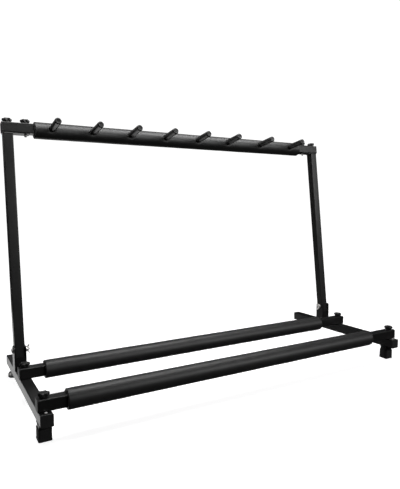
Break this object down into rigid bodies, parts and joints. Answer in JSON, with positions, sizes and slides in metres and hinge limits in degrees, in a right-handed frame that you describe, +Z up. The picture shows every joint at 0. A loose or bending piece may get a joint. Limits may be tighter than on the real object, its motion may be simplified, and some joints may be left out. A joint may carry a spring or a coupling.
{
  "type": "guitar rack",
  "caption": "Folding floor rack for a row of guitars: two sloping base tubes, two foam-padded rails for the bodies, and a leaning upright frame with a padded, pegged rail for the necks.",
  "frame": {"origin": "on the floor under the middle of the rack's box", "axes": "+Z up, +X along the rack's width towards its right end as seen from the front, the front of the rack faces -Y"},
  "size_m": [0.9218, 0.384, 0.5931],
  "materials": {
    "powder_coat": "satin black powder coat",
    "foam": "matt closed-cell foam",
    "rubber": "matt rubber",
    "knob_plastic": "fine-textured moulded plastic",
    "plug_plastic": "moulded polyethylene",
    "zinc_steel": "bright zinc plate",
    "glide_steel": "pressed and polished"
  },
  "bodies": {
    "base": {"base_front_plug_left": "plug_plastic", "base_front_plug_right": "plug_plastic", "base_rear_plug_left": "plug_plastic", "base_rear_plug_right": "plug_plastic", "base_tube_left": "powder_coat", "base_tube_right": "powder_coat", "front_foam": "foam", "front_leg_left": "powder_coat", "front_leg_right": "powder_coat", "front_rail": "powder_coat", "front_rail_plug_left": "plug_plastic", "front_rail_plug_right": "plug_plastic", "glide_pad_left": "rubber", "glide_pad_right": "rubber", "leg_cap_left": "rubber", "leg_cap_right": "rubber", "pivot_bolt_left": "zinc_steel", "pivot_bolt_right": "zinc_steel", "pivot_bracket_left": "powder_coat", "pivot_bracket_right": "powder_coat", "pivot_washer_left": "zinc_steel", "pivot_washer_right": "zinc_steel", "plug_screw_left": "zinc_steel", "plug_screw_right": "zinc_steel", "rear_foam": "foam", "rear_glide_left": "glide_steel", "rear_glide_right": "glide_steel", "rear_rail": "powder_coat", "rear_rail_plug_left": "plug_plastic", "rear_rail_plug_right": "plug_plastic"},
    "upright_frame": {"corner_plate_left": "powder_coat", "corner_plate_right": "powder_coat", "peg_sleeve_1": "foam", "peg_sleeve_2": "foam", "peg_sleeve_3": "foam", "peg_sleeve_4": "foam", "peg_sleeve_5": "foam", "peg_sleeve_6": "foam", "peg_sleeve_7": "foam", "peg_sleeve_8": "foam", "top_foam": "foam", "top_rail": "powder_coat", "top_rail_plug_left": "plug_plastic", "top_rail_plug_right": "plug_plastic", "upright_left": "powder_coat", "upright_right": "powder_coat"},
    "front_knob_left": {"front_knob_left": "knob_plastic"},
    "front_knob_right": {"front_knob_right": "knob_plastic"},
    "rear_knob_left": {"rear_knob_left": "knob_plastic"},
    "rear_knob_right": {"rear_knob_right": "knob_plastic"},
    "top_inner_knob_left": {"top_inner_knob_left": "knob_plastic"},
    "top_inner_knob_right": {"top_inner_knob_right": "knob_plastic"},
    "top_outer_knob_left": {"top_outer_knob_left": "knob_plastic"},
    "top_outer_knob_right": {"top_outer_knob_right": "knob_plastic"},
    "wing_nut_left": {"wing_nut_left": "zinc_steel"},
    "wing_nut_right": {"wing_nut_right": "zinc_steel"}
  },
  "joints": [
    {"name": "fold", "type": "hinge", "parent": "base", "child": "upright_frame", "pos_m": [0, 0.07717, 0.09082], "axis": [1, 0, 0], "range_deg": [0, 94]},
    {"name": "front_knob_left_turn", "type": "hinge", "parent": "base", "child": "front_knob_left", "pos_m": [-0.44475, -0.16773, 0.0773], "axis": [0, 0.0244, 0.9997], "continuous": true},
    {"name": "front_knob_right_turn", "type": "hinge", "parent": "base", "child": "front_knob_right", "pos_m": [0.44475, -0.16773, 0.0773], "axis": [0, 0.0244, 0.9997], "continuous": true},
    {"name": "rear_knob_left_turn", "type": "hinge", "parent": "base", "child": "rear_knob_left", "pos_m": [-0.44475, 0.01222, 0.0729], "axis": [0, 0.0244, 0.9997], "continuous": true},
    {"name": "rear_knob_right_turn", "type": "hinge", "parent": "base", "child": "rear_knob_right", "pos_m": [0.44475, 0.01222, 0.0729], "axis": [0, 0.0244, 0.9997], "continuous": true},
    {"name": "top_inner_knob_left_turn", "type": "hinge", "parent": "upright_frame", "child": "top_inner_knob_left", "pos_m": [-0.407, 0.1497, 0.58199], "axis": [0, 0.1461, 0.9893], "continuous": true},
    {"name": "top_inner_knob_right_turn", "type": "hinge", "parent": "upright_frame", "child": "top_inner_knob_right", "pos_m": [0.407, 0.1497, 0.58199], "axis": [0, 0.1461, 0.9893], "continuous": true},
    {"name": "top_outer_knob_left_turn", "type": "hinge", "parent": "upright_frame", "child": "top_outer_knob_left", "pos_m": [-0.44475, 0.1497, 0.58199], "axis": [0, 0.1461, 0.9893], "continuous": true},
    {"name": "top_outer_knob_right_turn", "type": "hinge", "parent": "upright_frame", "child": "top_outer_knob_right", "pos_m": [0.44475, 0.1497, 0.58199], "axis": [0, 0.1461, 0.9893], "continuous": true},
    {"name": "wing_nut_left_turn", "type": "hinge", "parent": "base", "child": "wing_nut_left", "pos_m": [-0.43055, 0.07717, 0.09082], "axis": [1, 0, 0], "continuous": true},
    {"name": "wing_nut_right_turn", "type": "hinge", "parent": "base", "child": "wing_nut_right", "pos_m": [0.43055, 0.07717, 0.09082], "axis": [-1, 0, 0], "continuous": true}
  ]
}
